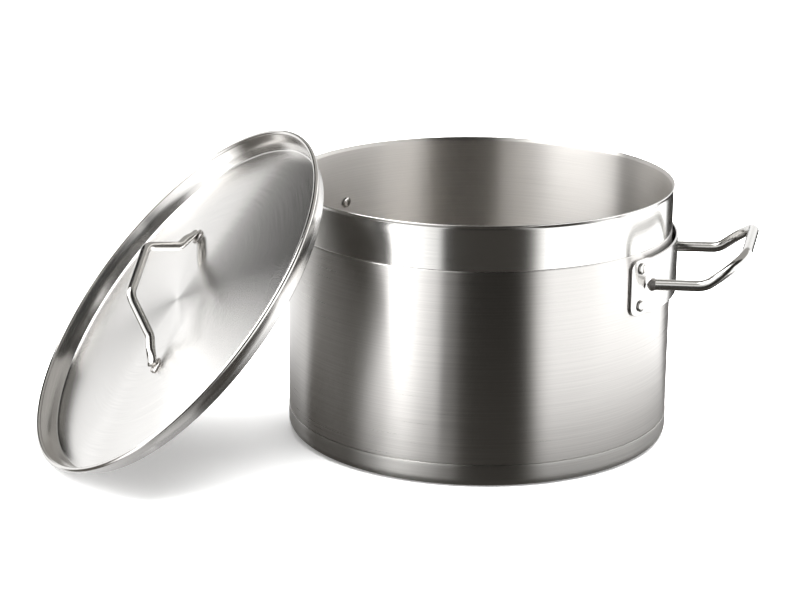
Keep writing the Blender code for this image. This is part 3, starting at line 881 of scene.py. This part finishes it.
def step(angle, at, softness):
    """0 below at, 1 above it, over a smooth band of softness, all in degrees."""
    node = sky.new("ShaderNodeMapRange")
    node.interpolation_type = "SMOOTHSTEP"
    node.inputs["From Min"].default_value = math.radians(at - softness / 2)
    node.inputs["From Max"].default_value = math.radians(at + softness / 2)
    sky_links.new(angle, node.inputs["Value"])
    return node.outputs["Result"]


def panel(under, colour, strength, left, right, low, high, edges, ends):
    """Mixes a panel over the colour so far.

    Bearings, in degrees, run from the camera's side and are positive to its right.
    """
    mask = sky_math("SUBTRACT", step(bearing, left, edges[0]), step(bearing, right, edges[1]))
    tall = sky_math("SUBTRACT", step(height, low, ends[0]), step(height, high, ends[1]))
    mix = sky.new("ShaderNodeMix")
    mix.data_type = "RGBA"
    sky_links.new(sky_math("MULTIPLY", mask, tall), mix.inputs["Factor"])
    if hasattr(under, "links"):
        sky_links.new(under, mix.inputs["A"])
    else:
        mix.inputs["A"].default_value = under
    mix.inputs["B"].default_value = (*(c * strength for c in colour), 1)
    return mix.outputs["Result"]


WHITE = (1.0, 1.0, 1.0)
WARM = (1.0, 0.93, 0.84)
# strength and tint, left, right, low, high, softness of the sides, softness of the ends
PANELS = [
    (WHITE, 1.35, 125, 200, -95, 18, (20, 10), (10, 10)),  # background, right half
    (WHITE, 1.25, -200, -118, -95, 16, (10, 10), (10, 8)),  # background, left half
    (WHITE, 6.0, -102, -44, 10, 75, (8, 34), (8, 20)),  # high window, left
    (WARM, 0.02, -154, -104, 18, 85, (10, 8), (4, 10)),  # dark above the lid
    (WHITE, 1.5, -131, -98, -95, 24, (4, 8), (4, 4)),  # pale strip under it
    (WARM, 0.13, -122, -84, -95, 4, (10, 16), (10, 8)),  # dim wall, low left
    (WHITE, 2.3, -76, -24, -95, 12, (22, 5), (10, 10)),  # left window
    (WHITE, 1.2, -38, -14, -95, 32, (24, 5), (10, 10)),  # left window's inner edge
    (WHITE, 2.0, 34, 142, -95, 30, (16, 16), (10, 14)),  # right window
    (WARM, 0.03, 38, 82, -64, -31, (10, 10), (8, 8)),  # dark patch, low right
    (WARM, 0.04, 143, 181, -32, -2, (5, 4), (8, 8)),  # post at the far right
    (WARM, 0.04, -181, -174, -32, -2, (4, 4), (8, 8)),  # post, past the bearings' seam
    (WARM, 0.03, 14, 78, 32, 95, (6, 12), (8, 10)),  # dark above the right window
    (WARM, 0.015, -24, 28, -95, 8, (5, 14), (10, 6)),  # gap in front, low
    (WARM, 0.012, -14, 28, 4, 80, (4, 14), (6, 20)),  # gap in front, high
    (WARM, 0.06, -22, 26, -26, -6, (5, 14), (6, 6)),  # floor of the gap
]
room = (0.50, 0.49, 0.47, 1)
for row in PANELS:
    room = panel(room, *row)
sky_links.new(room, background.inputs["Color"])
print("studio panels:", len(PANELS))

# %% [markdown]
# ## The table's own shade
# Close to a pot the table lies in its shade, and the lower wall shows that: steel gets darker towards the
# floor. The bright floor can't do it, since it is kept out of reflections, so a dim disc just under it
# does. Only reflections see the disc, and it fades out with distance by a smooth step of its radius.

# %% Shade disc
SHADE_REACH = 0.48
SHADE_FULL = 0.55
SHADE_STRENGTH = 0.07
shade_mesh = bpy.data.meshes.new("table_shade")
bm = bmesh.new()
bmesh.ops.create_circle(bm, cap_ends=True, segments=96, radius=SHADE_REACH)
bm.to_mesh(shade_mesh)
bm.free()
table_shade = bpy.data.objects.new("table_shade", shade_mesh)
scene.collection.objects.link(table_shade)
table_shade.location.z = -0.3 * MM
for sight in ("visible_camera", "visible_diffuse", "visible_shadow", "visible_transmission",
              "visible_volume_scatter"):
    setattr(table_shade, sight, False)
shade = bpy.data.materials.new("table_shade")
shade.use_nodes = True
shade_nodes, shade_links = shade.node_tree.nodes, shade.node_tree.links
shade_nodes.remove(shade_nodes["Principled BSDF"])
centre = shade_nodes.new("ShaderNodeTexCoord")
distance = shade_nodes.new("ShaderNodeVectorMath")
distance.operation = "LENGTH"
fade = shade_nodes.new("ShaderNodeMapRange")
fade.interpolation_type = "SMOOTHSTEP"
fade.inputs["From Min"].default_value = SHADE_REACH * SHADE_FULL
fade.inputs["From Max"].default_value = SHADE_REACH
glow, clear = shade_nodes.new("ShaderNodeEmission"), shade_nodes.new("ShaderNodeBsdfTransparent")
glow.inputs["Color"].default_value = (*(SHADE_STRENGTH * c for c in WARM), 1)
either = shade_nodes.new("ShaderNodeMixShader")
shade_links.new(centre.outputs["Object"], distance.inputs[0])
shade_links.new(distance.outputs["Value"], fade.inputs["Value"])
shade_links.new(fade.outputs["Result"], either.inputs["Fac"])
shade_links.new(glow.outputs["Emission"], either.inputs[1])
shade_links.new(clear.outputs["BSDF"], either.inputs[2])
shade_links.new(either.outputs["Shader"], shade_nodes["Material Output"].inputs["Surface"])
shade_mesh.materials.append(shade)
table_shade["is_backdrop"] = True
print("shade disc reaches", SHADE_REACH, "m")

# %% [markdown]
# ## Light for the floor
# The painted panels light the steel. The floor also wants an even wash from above, so that it stays pale
# and the pieces still touch it with a soft shadow. One large lamp does that, kept out of reflections.

# %% Overhead lamp
lamp_data = bpy.data.lights.new("overhead", "AREA")
lamp_data.shape = "DISK"
lamp_data.size = 5.0
lamp_data.energy = 900
lamp = bpy.data.objects.new("overhead", lamp_data)
lamp.location = (0, 0, 4.0)
lamp.visible_glossy = False
scene.collection.objects.link(lamp)

# %% [markdown]
# ## The camera
# The view is that of someone standing a couple of metres away and looking down over the lip, with a
# longish lens. The camera's place and its tilt are given; its turn round its own axis is a fraction of a
# degree. Colours are shown straight, with no filmic curve, so that the brightest steel goes fully white.

# %% Camera
view_turn = math.radians(VIEW_AZIMUTH)
VIEW_TILT = math.radians(16.488)
VIEW_ROLL = math.radians(0.394)
ahead = Vector((-math.sin(view_turn) * math.cos(VIEW_TILT), math.cos(view_turn) * math.cos(VIEW_TILT),
                -math.sin(VIEW_TILT)))
camera_data = bpy.data.cameras.new("camera")
camera_data.sensor_width = 36
camera_data.lens = 97.1
camera = bpy.data.objects.new("camera", camera_data)
camera.location = (0.3700, -1.9338, 0.7038)
camera.rotation_mode = "QUATERNION"
level = ahead.to_track_quat("-Z", "Y")
camera.rotation_quaternion = level @ Quaternion((0, 0, 1), VIEW_ROLL)
scene.collection.objects.link(camera)
scene.camera = camera
scene.view_settings.view_transform = "Standard"
print("camera", tuple(round(x, 3) for x in camera.location))

# %% [markdown]
# ## Sizes before and after
# The dressed pot has to stay the size of the engineering model. Both boxes are kept, and the last line
# prints how far each corner of the box has moved, in millimetres.

# %% Finish
dressed = [list(corner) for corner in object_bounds()]
growth = [[round((b - a) / MM, 2) for a, b in zip(x, y)] for x, y in zip(cad_box, dressed)]
print("grown by", growth, "mm")
